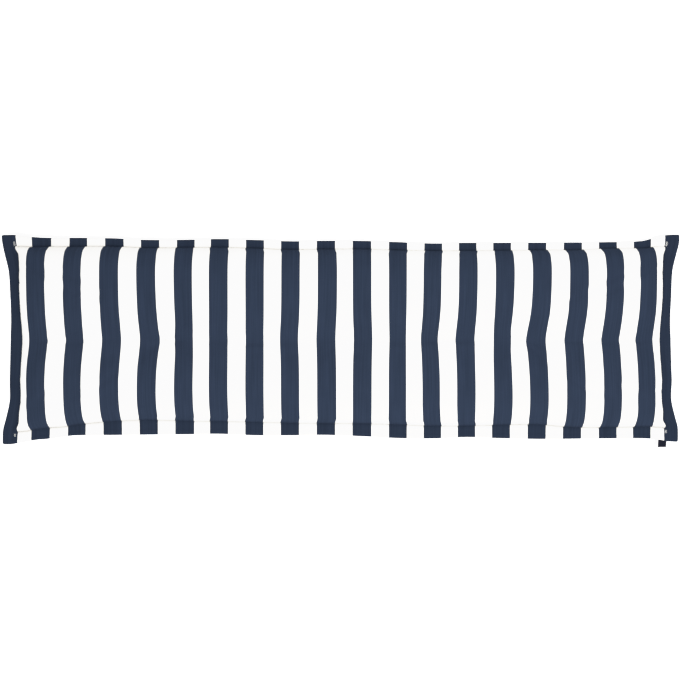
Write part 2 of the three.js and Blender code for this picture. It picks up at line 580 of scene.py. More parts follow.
def seam_folds(along, away, seed, pitch, reach, width):
    """Sum of short folds at uneven places that run in from a seam, a deep one being -1."""
    rng = np.random.default_rng(seed)
    total = np.zeros(np.broadcast(along, away).shape)
    place, stop = along.min(), along.max()
    while place < stop:
        place += pitch * rng.uniform(0.5, 1.5)
        lean, long, wide, depth = rng.uniform((-0.5, 0.5, 0.7, 0.3), (0.5, 1.5, 1.4, 1.0))
        part = away / (reach * long)
        across = (along - place - lean * away) / (width * wide)
        total -= depth * np.exp(-(across**2)) * 6 * part * np.exp(-2.2 * part)
    return total


def tuft_folds(x, y, seed, count=7):
    """Sum of the folds that run out from one tuft at uneven angles."""
    rng = np.random.default_rng(seed)
    r = np.hypot(x, y)
    angle = np.arctan2(y, x)
    total = np.zeros_like(r)
    for i in range(count):
        turn = 2 * math.pi * (i + rng.uniform(-0.3, 0.3)) / count
        reach, wide, depth = rng.uniform((14, 0.14, 0.5), (26, 0.26, 1.0))
        off = np.angle(np.exp(1j * (angle - turn)))
        total -= depth * np.exp(-((off / wide) ** 2)) * 2.7 * (r / reach) * np.exp(-r / reach)
    return total


class CushionShape:
    """Where a point of the flat cloth lies once the cover is sewn and filled, in millimetres."""

    def __init__(self, cover):
        self.border = cover.border_width / MM
        self.seam_u = cover.length / 2 / MM - self.border
        self.seam_v = cover.width / 2 / MM - self.border
        self.seam_height = cover.seam_height / MM
        self.crown_back = cover.crown_back / MM
        self.crown_front = cover.crown_front / MM
        self.seam_fold = cover.seam_fold / MM
        self.tuft_fold = cover.tuft_fold / MM
        self.seed = cover.seed
        self.shift = (0, 0)
        edge_u = np.linspace(-1, 1, 801) * (self.seam_u + self.border)
        edge_v = np.linspace(-1, 1, 401) * (self.seam_v + self.border)
        low_x = self.plan(np.full_like(edge_v, edge_u[0]), edge_v)[0].min()
        low_y = self.plan(edge_u, np.full_like(edge_u, edge_v[0]))[1].min()
        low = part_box("cushion")[0]
        self.shift = (low.x / MM - low_x, low.y / MM - low_y - FRONT_CORNERS_OUT)

    def plan(self, x, y):
        """Seen from above, where the drawn-in sides take a point of the flat cover."""
        end = np.where(x < 0, table_value(END_PULL, 1, y), table_value(END_PULL, 2, y))
        side = np.where(y < 0, table_value(SIDE_PULL, 1, x), table_value(SIDE_PULL, 2, x))
        end_share = np.clip((abs(x) - self.seam_u + END_REACH) / END_REACH, 0, 1) ** 2
        side_share = np.clip(abs(y) / self.seam_v, 0, 1) ** 2
        return (
            x - np.sign(x) * end * end_share + self.shift[0],
            y - np.sign(y) * side * side_share + self.shift[1],
        )

    def out(self, u, v):
        """Distance outward from the seam, none on the body."""
        return np.maximum(np.maximum(abs(u) - self.seam_u, abs(v) - self.seam_v), 0)

    def border_height(self, x, y):
        """Height of the border's middle, whose edge hangs in long slanting waves."""
        wave = 1 + np.sin(2 * math.pi * (x + 1.7 * y) / BORDER_WAVE)
        return self.seam_height - BORDER_HANG * wave * self.out(x, y) / self.border

    def body_share(self, x, y, back, front, soft=0):
        """Share of the full height at a place, part of its front wall being the softer one."""
        front_wall = wall_share(self.seam_v + y, front)
        soft_wall = wall_share(self.seam_v + y, SOFT_WALL, SOFT_WALL_POWER)
        return (
            wall_share(self.seam_u + x, WALL_AT_ENDS)
            * wall_share(self.seam_u - x, WALL_AT_ENDS)
            * (front_wall + (soft_wall - front_wall) * soft)
            * wall_share(self.seam_v - y, back)
        )

    def crept(self, u, v, top):
        """Place along the cushion of a point of the cloth, which creeps as it is filled."""
        fronts = [table_value(CREEP, k, u) for k in (1, 2)]
        backs = [table_value(CREEP, k, u) for k in (5, 4)]
        border, crown = (
            front + (back - front) * smoothstep(v, -MIDDLE_BLEND, MIDDLE_BLEND)
            for front, back in zip(fronts, backs)
        )
        inward = self.seam_v - abs(v)
        near = smoothstep(inward, 0, SEAM_CREEP_NEAR)
        far = smoothstep(inward, 0, SEAM_CREEP_FAR)
        furrow = table_value(CREEP, 3, u) if top else crown
        crown = crown + (furrow - crown) * falloff(v - FURROW_Y, FURROW_REACH)
        little = np.clip(crown - border, -SEAM_CREEP, SEAM_CREEP)
        x = u + border + little * near + (crown - border - little) * far
        slip = table_value(END_SLIP, 1, u)
        if not top:
            return x + SLIP_UNDERNEATH * slip * far
        pull = np.where(u < 0, table_value(END_PULL, 1, v), table_value(END_PULL, 2, v))
        x = x + slip * np.clip(pull / SLIP_PULL, 0, 1.1) * smoothstep(inward, 0, 30)
        for (tuft_x, tuft_y), draw in zip(TUFTS, TUFT_DRAW):
            away = (x - tuft_x) / TUFT_DRAW_ALONG
            drawn = draw * away * np.exp(1 - abs(away))
            x = x - drawn * falloff(v - tuft_y, TUFT_DRAW_ACROSS)
        return x

    def cloth_place(self, x, v):
        """Place along the flat cloth that creeps to a given place on top."""
        edge = self.seam_u + self.border
        us = np.linspace(-edge, edge, 3005)
        return us[np.argmin(abs(self.crept(us, np.full_like(us, v), True) - x))]

    def seam_move(self, x, y):
        """How far a point near the border's seam moves with it, along and across."""
        end = np.where(x < 0, table_value(END_SEAM_SHIFT, 1, y), table_value(END_SEAM_SHIFT, 2, y))
        side = np.where(y < 0, table_value(SEAM_SHIFT, 1, x), table_value(SEAM_SHIFT, 2, x))
        return (
            -np.sign(x) * end * self.near_seam(self.seam_u - abs(x), END_SEAM_REACH),
            np.sign(y) * side * self.near_seam(self.seam_v - abs(y), SIDE_SEAM_REACH),
        )

    def near_seam(self, inward, reach):
        """One at the border's seam, none at the edge and from a given distance inward."""
        outside = 1 - np.clip(-inward / self.border, 0, 1)
        return np.where(inward > 0, 1 - smoothstep(inward, 0, reach), outside)

    def rest(self, u, v, top):
        """The point of the top or the underside, without its small folds."""
        u, v = np.broadcast_arrays(np.asarray(u, float), np.asarray(v, float))
        x = self.crept(u, v, top)
        out = self.out(u, v)
        inward = np.clip(np.minimum(self.seam_u - abs(x), self.seam_v - abs(v)), 0, None)
        half = table_value(BORDER_PROFILE, 1, out) + smoothstep(inward, 0, PANEL_ROUNDING)
        middle = self.border_height(x, v)
        if top:
            z = middle + half + self.rise(x, v)
        else:
            share = self.body_share(x, v, WALL_UNDERNEATH, WALL_UNDERNEATH)
            z = (middle - half) * (1 - share)
            for tuft_x, tuft_y in TUFTS:
                away = np.hypot(x - tuft_x, v - tuft_y) / UNDER_TUFT_REACH
                z = z + UNDER_TUFT_RISE * (1 - np.minimum(away, 1) ** 2) ** 2
        along, across = self.seam_move(x, v)
        x, y = self.plan(*self.round_corner(x, v))
        return np.stack([x + along, y + across, z], axis=-1)

    def rise(self, x, y):
        """How far the filling lifts the top over the border, less the furrow and the tufts."""
        back = smoothstep(y, -MIDDLE_BLEND, MIDDLE_BLEND)
        crown = self.crown_front + (self.crown_back - self.crown_front) * back
        kept = 1 - table_value(FURROW_DEPTH, 1, x) * falloff(y - FURROW_Y, FURROW_REACH)
        for tuft_x, tuft_y in TUFTS:
            kept = kept * (1 - TUFT_DEPTH * falloff(np.hypot(x - tuft_x, y - tuft_y), TUFT_REACH))
        soft = 1 - smoothstep(x, *SOFT_WALL_PLACES)
        return crown * kept * self.body_share(x, y, WALL_AT_BACK, WALL_AT_FRONT, soft)

    def round_corner(self, x, y, radius=4):
        """A turned corner is a little round."""
        over_x = np.clip(abs(x) - (self.seam_u + self.border - radius), 1e-6, None)
        over_y = np.clip(abs(y) - (self.seam_v + self.border - radius), 1e-6, None)
        keep = np.maximum(over_x, over_y) / np.hypot(over_x, over_y)
        return (
            np.sign(x) * (abs(x) - over_x * (1 - keep)),
            np.sign(y) * (abs(y) - over_y * (1 - keep)),
        )

    def folds(self, u, v, top):
        """How far the small folds stand along the surface's normal."""
        depth = self.seam_fold * (1 if top else 0.6)
        seed = self.seed * 10 + (0 if top else 5)
        out = self.out(u, v)
        inside = out <= 0
        total = np.zeros(out.shape)
        sides = [
            (u, self.seam_v - v, abs(v) - self.seam_v),
            (u, self.seam_v + v, abs(v) - self.seam_v),
            (v, self.seam_u - u, abs(u) - self.seam_u),
            (v, self.seam_u + u, abs(u) - self.seam_u),
        ]
        for i, (along, inward, outward) in enumerate(sides):
            away = np.clip(inward, 0, None)
            folds = seam_folds(along, away, seed + i, pitch=21, reach=24, width=5)
            total += inside * depth * folds
            across = np.where(inward < 0, np.clip(outward, 0, None), 0)
            fade = 1 - np.clip(out / self.border, 0, 1) ** 2
            folds = seam_folds(along, across, seed + i, pitch=21, reach=16, width=5)
            total += 0.3 * depth * fade * folds
        x = self.crept(u, v, top)
        for i, (tuft_x, tuft_y) in enumerate(TUFTS):
            strength = self.tuft_fold * (1 if top else 0.4)
            total += strength * tuft_folds(x - tuft_x, v - tuft_y, seed + 20 + i)
        return total


def normals(points):
    """Unit normals of a grid of points, upward where the grid runs along x then y."""
    along = np.gradient(points, axis=1)
    across = np.gradient(points, axis=0)
    n = np.cross(along, across)
    return n / np.maximum(np.linalg.norm(n, axis=-1, keepdims=True), 1e-9)


def grid_faces(index):
    """The four-cornered faces of a grid of point numbers."""
    corners = [index[:-1, :-1], index[:-1, 1:], index[1:, 1:], index[1:, :-1]]
    return np.stack(corners, axis=-1).reshape(-1, 4)


def stops(seam, border, spacing):
    """Grid lines across one direction, close together at the edge, the step and the seam."""
    outside = [border - d for d in (0, 0.3, 1, 2.5, 5, 7.5, 9, 13, 18, 23, 24.8)] + [0]
    inside = [0.7, 1.6, 2.8, 4.4, 6.4, 8.8, 11.8, 15.4, 19.4]
    count = round(2 * (seam - inside[-1]) / spacing)
    middle = np.linspace(inside[-1] - seam, seam - inside[-1], count + 1)
    low = [-seam - d for d in outside] + [d - seam for d in inside[:-1]]
    return np.array([*low, *middle, *(-d for d in reversed(low))])


def resample(values, at_rows, at_columns):
    """Values of an even grid between its points, by cubic steps first down and then along."""
    for axis, at in ((0, at_rows), (1, at_columns)):
        values = np.moveaxis(values, axis, 0)
        last = len(values) - 1
        i = np.clip(np.floor(at).astype(int), 0, last - 1)
        t = (at - i).reshape(-1, *[1] * (values.ndim - 1))
        p = [values[np.clip(i + k, 0, last)] for k in (-1, 0, 1, 2)]
        bend = 2 * p[0] - 5 * p[1] + 4 * p[2] - p[3]
        turn = 3 * (p[1] - p[2]) + p[3] - p[0]
        values = p[1] + 0.5 * t * (p[2] - p[0] + t * (bend + t * turn))
        values = np.moveaxis(values, 0, axis)
    return values


def blurred(field, rounds):
    """The field with its small waves smoothed away."""
    for _ in range(rounds):
        for axis in (0, 1):
            wide = np.concatenate(
                [field.take([0], axis), field, field.take([-1], axis)], axis
            )
            low = np.roll(wide, 1, axis)
            high = np.roll(wide, -1, axis)
            inner = [slice(None)] * field.ndim
            inner[axis] = slice(1, -1)
            field = ((low + 2 * wide + high) / 4)[tuple(inner)]
    return field


def simulated_wrinkles(shape, cover, frames=20, tuft_hold=8, rounds=24):
    """Blender's cloth, sewn down at the seams and tufts and pressed up by the filling.

    Returns an even grid of how far its small wrinkles move each point, in millimetres.
    """
    us, vs = (
        np.linspace(-seam, seam, round(2 * seam / SETTLING_SPACING) + 1)
        for seam in (shape.seam_u, shape.seam_v)
    )
    grid_u, grid_v = np.meshgrid(us, vs)
    start = shape.rest(grid_u, grid_v, True)
    columns, rows = len(us), len(vs)
    index = np.arange(rows * columns).reshape(rows, columns)
    mesh = bpy.data.meshes.new("settling_cloth")
    mesh.from_pydata((start.reshape(-1, 3) * MM).tolist(), [], grid_faces(index).tolist())
    cloth = bpy.data.objects.new("settling_cloth", mesh)
    bpy.context.scene.collection.objects.link(cloth)
    cloth.shape_key_add(name="filled")
    cut = cloth.shape_key_add(name="cut")
    flat = np.stack([grid_u, grid_v, np.zeros_like(grid_u)], axis=-1) * MM
    cut.data.foreach_set("co", flat.reshape(-1))
    x = shape.crept(grid_u, grid_v, True)
    sewn = (shape.seam_u - abs(grid_u) < 1) | (shape.seam_v - abs(grid_v) < 1)
    for tuft_x, tuft_y in TUFTS:
        sewn |= np.hypot(x - tuft_x, grid_v - tuft_y) < tuft_hold
    group = cloth.vertex_groups.new(name="sewn")
    group.add(index[sewn].tolist(), 1.0, "REPLACE")
    modifier = cloth.modifiers.new("settle", "CLOTH")
    settings = modifier.settings
    settings.quality = 8
    settings.mass = 0.2
    settings.tension_stiffness = 20
    settings.compression_stiffness = 20
    settings.shear_stiffness = 8
    settings.bending_stiffness = 0.3
    settings.vertex_group_mass = "sewn"
    settings.rest_shape_key = cut
    settings.use_pressure = True
    settings.uniform_pressure_force = cover.pressure
    settings.effector_weights.gravity = 0
    modifier.collision_settings.use_collision = False
    modifier.collision_settings.use_self_collision = False
    modifier.point_cache.frame_start = 1
    modifier.point_cache.frame_end = frames
    scene = bpy.context.scene
    for step in range(1, frames + 1):
        scene.frame_set(step)
    settled = cloth.evaluated_get(bpy.context.evaluated_depsgraph_get()).to_mesh()
    end = np.empty(rows * columns * 3, np.float32)
    settled.vertices.foreach_get("co", end)
    end = end.reshape(rows, columns, 3) / MM
    bpy.data.objects.remove(cloth)
    bpy.data.meshes.remove(mesh)
    scene.frame_set(1)
    moved = end - start
    moved -= blurred(moved, rounds)
    size = np.linalg.norm(moved, axis=-1, keepdims=True)
    limit = cover.wrinkle / MM
    moved *= limit * np.tanh(size / limit) / np.maximum(size, 1e-9)
    return moved


def new_piece(name, points, faces, material):
    """A smooth-shaded piece from points in millimetres."""
    mesh = bpy.data.meshes.new(name)
    mesh.from_pydata((np.asarray(points).reshape(-1, 3) * MM).tolist(), [], faces)
    mesh.materials.append(material)
    mesh.shade_smooth()
    piece = bpy.data.objects.new(name, mesh)
    bpy.context.scene.collection.objects.link(piece)
    return piece


class Value:
    """A number in a tree of nodes; sums and products of it add Math nodes."""

    def __init__(self, nodes, socket):
        self.nodes = nodes
        self.socket = socket

    def math(self, operation, *others, clamp=False):
        settings = {"operation": operation, "use_clamp": clamp}
        return self.nodes.add("ShaderNodeMath", settings, dict(enumerate((self, *others))))

    def __add__(self, other):
        return self.math("ADD", other)

    def __radd__(self, other):
        return self.math("ADD", other)

    def __sub__(self, other):
        return self.math("SUBTRACT", other)

    def __rsub__(self, other):
        return (self * -1).math("ADD", other)

    def __mul__(self, other):
        return self.math("MULTIPLY", other)

    def __rmul__(self, other):
        return self.math("MULTIPLY", other)

    def __truediv__(self, other):
        return self.math("DIVIDE", other)

    def __abs__(self):
        return self.math("ABSOLUTE")

    def output(self, name):
        """Another output of the same node."""
        found = [s for s in self.socket.node.outputs if s.name == name and s.enabled]
        return Value(self.nodes, found[0])


class Nodes:
    """Builds the nodes of one material or one geometry tree."""

    def __init__(self, tree):
        self.tree = tree
        tree.nodes.clear()

    def add(self, kind, settings=None, sockets=None):
        node = self.tree.nodes.new(kind)
        for name, value in (settings or {}).items():
            setattr(node, name, value)
        for key, value in (sockets or {}).items():
            if isinstance(key, int):
                socket = node.inputs[key]
            else:
                socket = next(s for s in node.inputs if s.name == key and s.enabled)
            if isinstance(value, Value):
                self.tree.links.new(value.socket, socket)
            else:
                socket.default_value = value
        shown = [s for s in node.outputs if s.enabled]
        return Value(self, shown[0]) if shown else node

    def point(self, x=0.0, y=0.0, z=0.0):
        return self.add("ShaderNodeCombineXYZ", None, {0: x, 1: y, 2: z})

    def noise(self, place, scale, detail):
        sockets = {"Vector": place, "Scale": scale, "Detail": detail}
        return self.add("ShaderNodeTexNoise", None, sockets)

    def scaled(self, vector, share):
        sockets = {"Vector": vector, "Scale": share}
        return self.add("ShaderNodeVectorMath", {"operation": "SCALE"}, sockets)

    def mixed(self, factor, first, second):
        sockets = {"Factor": factor, "A": first, "B": second}
        return self.add("ShaderNodeMix", {"data_type": "RGBA"}, sockets)

    def bump(self, height, strength, distance):
        sockets = {"Strength": strength, "Distance": distance, "Height": height}
        return self.add("ShaderNodeBump", None, sockets)

    def surface(self, **sockets):
        """The shader of a material, whose sockets' names are given with underscores."""
        sockets = {name.replace("_", " "): value for name, value in sockets.items()}
        shader = self.add("ShaderNodeBsdfPrincipled", None, sockets)
        self.add("ShaderNodeOutputMaterial", None, {"Surface": shader})


def new_material(name):
    material = bpy.data.materials.new(name)
    material.use_nodes = True
    return material, Nodes(material.node_tree)


def colour(rgb):
    """The colour with full opacity."""
    return (*rgb, 1.0)


def striped_cloth(cloth, shape):
    """Plain-woven cotton with block stripes, its pattern laid on the flat cloth's own map."""
    material, nodes = new_material("striped_cloth")
    place = nodes.add("ShaderNodeUVMap", {"uv_map": "cloth"})
    u = nodes.add("ShaderNodeSeparateXYZ", None, {0: place})
    v = u.output("Y")
    streaks = nodes.noise(nodes.point(u * STREAKS[0], v * STREAKS[1]), 1.0, 3.0)
    cloudy = nodes.noise(nodes.point(u * CLOUDS, v * CLOUDS), 1.0, 2.0)
    fuzz = nodes.noise(nodes.point(u * FUZZ, v * FUZZ), 1.0, 1.0)

    # The stripes, with slightly ragged edges
    from_navy = abs((u / cloth.stripe_pitch).math("FRACT") - 0.5) * cloth.stripe_pitch
    ragged = from_navy + (fuzz - 0.5) * 0.0005
    navy_share = ((cloth.navy_width / 2 - ragged) / cloth.edge + 0.5).math("ADD", 0.0, clamp=True)

    # The yarns, by turns over and under each other
    warp_turn, weft_turn = (along * (math.pi / cloth.weave) for along in (u, v))
    over = (warp_turn.math("SINE") * weft_turn.math("SINE") * 4).math("ADD", 0.5, clamp=True)
    warp = abs(warp_turn.math("COSINE"))
    weft = abs(weft_turn.math("COSINE"))
    yarns = warp * over + weft * (1 - over)
    uneven = (streaks - 0.5) * 0.55 + (cloudy - 0.5) * 0.16 + (fuzz - 0.5) * 0.3
    tone = uneven + yarns * 0.16 + 0.92

    # Painted shade: the navy is darkened on the border, from a little inside the seam outward,
    # standing in for the shade on the low border beside the wall and for the lighter look of the
    # navy over the pale filling
    past_end = abs(u) - shape.seam_u * MM
    past_side = abs(v) - shape.seam_v * MM
    shaded_border_share = (past_end.math("MAXIMUM", past_side) / 0.006 + 0.8).math("ADD", 0.0, clamp=True)
    navy = nodes.scaled(cloth.navy, tone * (1 - shaded_border_share * cloth.painted_border_shade))

    # Painted shade: the white is greyed along the front seam, standing in for the shade in the
    # seam's crease
    from_front = abs(v + shape.seam_v * MM)
    painted_seam_shade = (1 - from_front / cloth.seam_shade_reach).math("MAXIMUM", 0.0) * cloth.seam_shade_depth
    white = nodes.scaled(cloth.white, (tone - 1) * 0.14 + (1 - painted_seam_shade))
    height = yarns * 0.5 + (fuzz - 0.5) * 0.5 + streaks * 0.4
    nodes.surface(
        Base_Color=nodes.mixed(navy_share, white, navy),
        Roughness=0.95,
        Specular_IOR_Level=0.03,
        Normal=nodes.bump(height, 0.35, 0.00012),
    )
    return material


def sewing_thread(name, rgb):
    """Twisted thread, its ply drawn by slanting waves."""
    material, nodes = new_material(name)
    place = nodes.add("ShaderNodeTexCoord").output("Object")
    x = nodes.add("ShaderNodeSeparateXYZ", None, {0: place})
    slant = (x + x.output("Y") + x.output("Z")) * 9000
    ply = slant.math("SINE") * 0.5 + 0.5
    fibre = nodes.noise(place, 2500.0, 2.0)
    nodes.surface(
        Base_Color=nodes.scaled(rgb, ply * 0.25 + (fibre - 0.5) * 0.3 + 0.87),
        Roughness=0.6,
        Specular_IOR_Level=0.35,
        Normal=nodes.bump(ply, 0.4, 0.0001),
    )
    return material


def label_cloth(label):
    """Close ribbed weave with a paler yarn along each selvage, on the strip's own map."""
    material, nodes = new_material("label_cloth")
    place = nodes.add("ShaderNodeUVMap", {"uv_map": "strip"})
    across = nodes.add("ShaderNodeSeparateXYZ", None, {0: place})
    ribs = (across.output("Y") * (2 * math.pi / label.rib)).math("SINE") * 0.5 + 0.5
    fine = nodes.noise(place, 3000.0, 2.0)
    ground = nodes.scaled(label.colour, ribs * 0.3 + (fine - 0.5) * 0.4 + 0.85)
    from_yarn = abs(abs(across) - label.yarn_place)
    yarn = ((label.yarn_width / 2 - from_yarn) / 0.0001).math("ADD", 0.5, clamp=True)
    nodes.surface(
        Base_Color=nodes.mixed(yarn * 0.5, ground, colour(label.yarn)),
        Roughness=0.75,
        Specular_IOR_Level=0.08,
        Normal=nodes.bump(ribs + yarn, 0.4, 0.00008),
    )
    return material


def stitch_tree():
    """Geometry nodes that lay arched stitches along every path of a mesh of edges."""
    tree = bpy.data.node_groups.new("Stitches on a path", "GeometryNodeTree")
    inputs = [
        ("Path", "NodeSocketGeometry"),
        ("Pitch", "NodeSocketFloat"),
        ("Stitch Length", "NodeSocketFloat"),
        ("Thread Radius", "NodeSocketFloat"),
        ("Turn", "NodeSocketFloat"),
        ("Unevenness", "NodeSocketFloat"),
        ("Seed", "NodeSocketInt"),
        ("Material", "NodeSocketMaterial"),
    ]
    for name, kind in inputs:
        tree.interface.new_socket(name, in_out="INPUT", socket_type=kind)
    tree.interface.new_socket("Stitches", in_out="OUTPUT", socket_type="NodeSocketGeometry")
    nodes = Nodes(tree)
    given = nodes.add("NodeGroupInput")
    radius = given.output("Thread Radius")
    half = given.output("Stitch Length") * 0.5
    curve = nodes.add("GeometryNodeMeshToCurve", None, {"Mesh": given.output("Path")})
    points = nodes.add(
        "GeometryNodeCurveToPoints",
        {"mode": "LENGTH"},
        {"Curve": curve, "Length": given.output("Pitch")},
    )
    up = nodes.add(
        "GeometryNodeInputNamedAttribute", {"data_type": "FLOAT_VECTOR"}, {"Name": "up"}
    )
    facing = nodes.add(
        "FunctionNodeAxesToRotation",
        {"primary_axis": "Z", "secondary_axis": "X"},
        {0: up, 1: points.output("Tangent")},
    )
    uneven = given.output("Unevenness")
    swing = nodes.add(
        "FunctionNodeRandomValue",
        {"data_type": "FLOAT"},
        {"Min": uneven * -1, "Max": uneven, "Seed": given.output("Seed")},
    )
    turn = nodes.point(z=given.output("Turn") + swing)
    turned = nodes.add(
        "FunctionNodeRotateRotation",
        {"rotation_space": "LOCAL"},
        {0: facing, 1: nodes.add("FunctionNodeEulerToRotation", None, {0: turn})},
    )
    size = nodes.add(
        "FunctionNodeRandomValue",
        {"data_type": "FLOAT"},
        {"Min": 1 - uneven, "Max": 1 + uneven, "Seed": given.output("Seed") + 1},
    )
    arch = nodes.add(
        "GeometryNodeCurveQuadraticBezier",
        None,
        {
            "Resolution": 5,
            "Start": nodes.point(half * -1, z=radius * -1.6),
            "Middle": nodes.point(z=radius * 2.2),
            "End": nodes.point(half, z=radius * -1.6),
        },
    )
    ring = nodes.add(
        "GeometryNodeCurvePrimitiveCircle", {"mode": "RADIUS"}, {"Resolution": 5, "Radius": radius}
    )
    stitch = nodes.add(
        "GeometryNodeCurveToMesh", None, {"Curve": arch, "Profile Curve": ring, "Fill Caps": True}
    )
    laid = nodes.add(
        "GeometryNodeInstanceOnPoints",
        None,
        {"Points": points, "Instance": stitch, "Rotation": turned, "Scale": size},
    )
    real = nodes.add("GeometryNodeRealizeInstances", None, {0: laid})
    smooth = nodes.add("GeometryNodeSetShadeSmooth", None, {0: real})
    painted = nodes.add(
        "GeometryNodeSetMaterial", None, {"Geometry": smooth, "Material": given.output("Material")}
    )
    nodes.add("NodeGroupOutput", None, {0: painted})
    return tree


def stitched_piece(name, paths, material, sizes):
    """A plain mesh of the stitches along some paths, each (points in mm, up, closed)."""
    points, edges, ups = [], [], []
    for path, up, closed in paths:
        first = len(points)
        points += [list(p) for p in np.asarray(path) * MM]
        ups += [up] * len(path)
        edges += [(first + i, first + i + 1) for i in range(len(path) - 1)]
        if closed:
            edges.append((len(points) - 1, first))
    mesh = bpy.data.meshes.new(name + "_path")
    mesh.from_pydata(points, edges, [])
    mesh.attributes.new("up", "FLOAT_VECTOR", "POINT").data.foreach_set("vector", np.ravel(ups))
    guide = bpy.data.objects.new(name + "_path", mesh)
    bpy.context.scene.collection.objects.link(guide)
    modifier = guide.modifiers.new("stitches", "NODES")
    modifier.node_group = bpy.data.node_groups.get("Stitches on a path") or stitch_tree()
    for item in modifier.node_group.interface.items_tree:
        if item.in_out == "INPUT" and item.name in sizes:
            modifier[item.identifier] = sizes[item.name]
        if item.in_out == "INPUT" and item.name == "Material":
            modifier[item.identifier] = material
    made = guide.evaluated_get(bpy.context.evaluated_depsgraph_get())
    piece = bpy.data.objects.new(name, bpy.data.meshes.new_from_object(made))
    piece.data.name = name
    bpy.context.scene.collection.objects.link(piece)
    bpy.data.objects.remove(guide)
    bpy.data.meshes.remove(mesh)
    return piece


def thread_material(name, rgb):
    """A thread's material, made once and shared by the pieces that are sewn with it."""
    return bpy.data.materials.get(name) or sewing_thread(name, rgb)


class BENCHCUSHION_OT_cover(Operator):
    """Sew, fill and settle the striped cover"""

    bl_idname = "bench_cushion.cover"
    bl_label = "Filled cover"

    def execute(self, context):
        cover = context.scene.bench_cover
        cloth = context.scene.bench_cloth
        shape = CushionShape(cover)
        us = stops(shape.seam_u, shape.border, GRID_SPACING)
        vs = stops(shape.seam_v, shape.border, GRID_SPACING)
        grid_u, grid_v = np.meshgrid(us, vs)
        wrinkles = simulated_wrinkles(shape, cover)
        sheets = []
        for top in (True, False):
            points = shape.rest(grid_u, grid_v, top)
            points += normals(points) * shape.folds(grid_u, grid_v, top)[..., None]
            if top and wrinkles is not None:
                points += self.spread(wrinkles, shape, us, vs)
            points[..., 2] = np.maximum(points[..., 2], 0)
            sheets.append(points)
        piece = self.sewn_mesh(sheets, grid_u, grid_v, shape, cloth)
        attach(piece, "root")
        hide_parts("cushion")
        return {"FINISHED"}

    def spread(self, wrinkles, shape, us, vs):
        """The simulated wrinkles at the cover's own grid, with none on the border."""
        rows, columns = wrinkles.shape[:2]
        row = np.clip((vs + shape.seam_v) / (2 * shape.seam_v), 0, 1) * (rows - 1)
        column = np.clip((us + shape.seam_u) / (2 * shape.seam_u), 0, 1) * (columns - 1)
        moved = resample(wrinkles, row, column)
        body = (abs(us)[None, :] < shape.seam_u) & (abs(vs)[:, None] < shape.seam_v)
        return moved * body[..., None]

    def sewn_mesh(self, sheets, grid_u, grid_v, shape, cloth):
        """Both panels as one closed mesh that shares the rim's points, with the cloth's map."""
        rows, columns = grid_u.shape
        rim = np.zeros((rows, columns), bool)
        rim[[0, -1], :] = True
        rim[:, [0, -1]] = True
        top = np.arange(rows * columns).reshape(rows, columns)
        under = top.copy()
        under[~rim] = rows * columns + np.arange((~rim).sum())
        points = np.concatenate([sheets[0].reshape(-1, 3), sheets[1][~rim]])
        flat = np.stack([grid_u, grid_v], axis=-1).reshape(-1, 2) * MM
        faces, places = [], []
        for index, order, shift in ((top, 1, 0.0), (under, -1, cloth.underside_shift)):
            faces.append(grid_faces(index)[:, ::order])
            places.append((flat + (shift, 0))[grid_faces(top)[:, ::order]].reshape(-1, 2))
        material = striped_cloth(cloth, shape)
        piece = new_piece("cushion_cover", points, np.concatenate(faces).tolist(), material)
        layer = piece.data.uv_layers.new(name="cloth")
        layer.data.foreach_set("uv", np.concatenate(places).ravel())
        return piece


class BENCHCUSHION_OT_border_stitches(Operator):
    """Stitch the border's seam all round, on the top and the underside"""

    bl_idname = "bench_cushion.border_stitches"
    bl_label = "Border stitches"

    def execute(self, context):
        thread = context.scene.bench_thread
        shape = CushionShape(context.scene.bench_cover)
        u, v = shape.seam_u, shape.seam_v
        corners = [(-u, -v), (u, -v), (u, v), (-u, v), (-u, -v)]
        counts = [480, 140, 480, 140]
        lines = [
            np.linspace(corners[i], corners[i + 1], count)[:-1] for i, count in enumerate(counts)
        ]
        around_u, around_v = np.concatenate(lines).T
        radius = thread.thickness / 2
        paths = []
        for top, up in BOTH_PANELS:
            path = shape.rest(around_u, around_v, top)
            path[:, 2] += up[2] * radius / MM * 0.6
            paths.append((path, up, True))
        sizes = {
            "Pitch": thread.pitch,
            "Stitch Length": thread.pitch * 0.6,
            "Thread Radius": radius,
            "Turn": 0.0,
            "Unevenness": 0.08,
            "Seed": thread.seed,
        }
        material = thread_material("dark_thread", thread.dark)
        piece = stitched_piece("border_stitches", paths, material, sizes)
        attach(piece, "root")
        return {"FINISHED"}


class BENCHCUSHION_OT_tuft_ties(Operator):
    """Tie the three tufts with short sunk stitches on both faces"""

    bl_idname = "bench_cushion.tuft_ties"
    bl_label = "Tuft ties"

    def execute(self, context):
        thread = context.scene.bench_thread
        shape = CushionShape(context.scene.bench_cover)
        paths = []
        for top, up in BOTH_PANELS:
            for tuft_x, tuft_y in TUFTS:
                u = shape.cloth_place(tuft_x, tuft_y)
                across = tuft_y + np.linspace(-TIE_SPREAD, TIE_SPREAD, 4)
                path = shape.rest(np.full(4, u), across, top)
                path[:, 2] += TIE_RADIUS * up[2]
                paths.append((path, up, False))
        sizes = {
            "Pitch": 0.0007,
            "Stitch Length": thread.tie_length,
            "Thread Radius": TIE_RADIUS * MM,
            "Turn": math.pi / 2,
            "Unevenness": 0.15,
            "Seed": thread.seed + 10,
        }
        material = thread_material("light_thread", thread.light)
        piece = stitched_piece("tuft_ties", paths, material, sizes)
        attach(piece, "root")
        return {"FINISHED"}


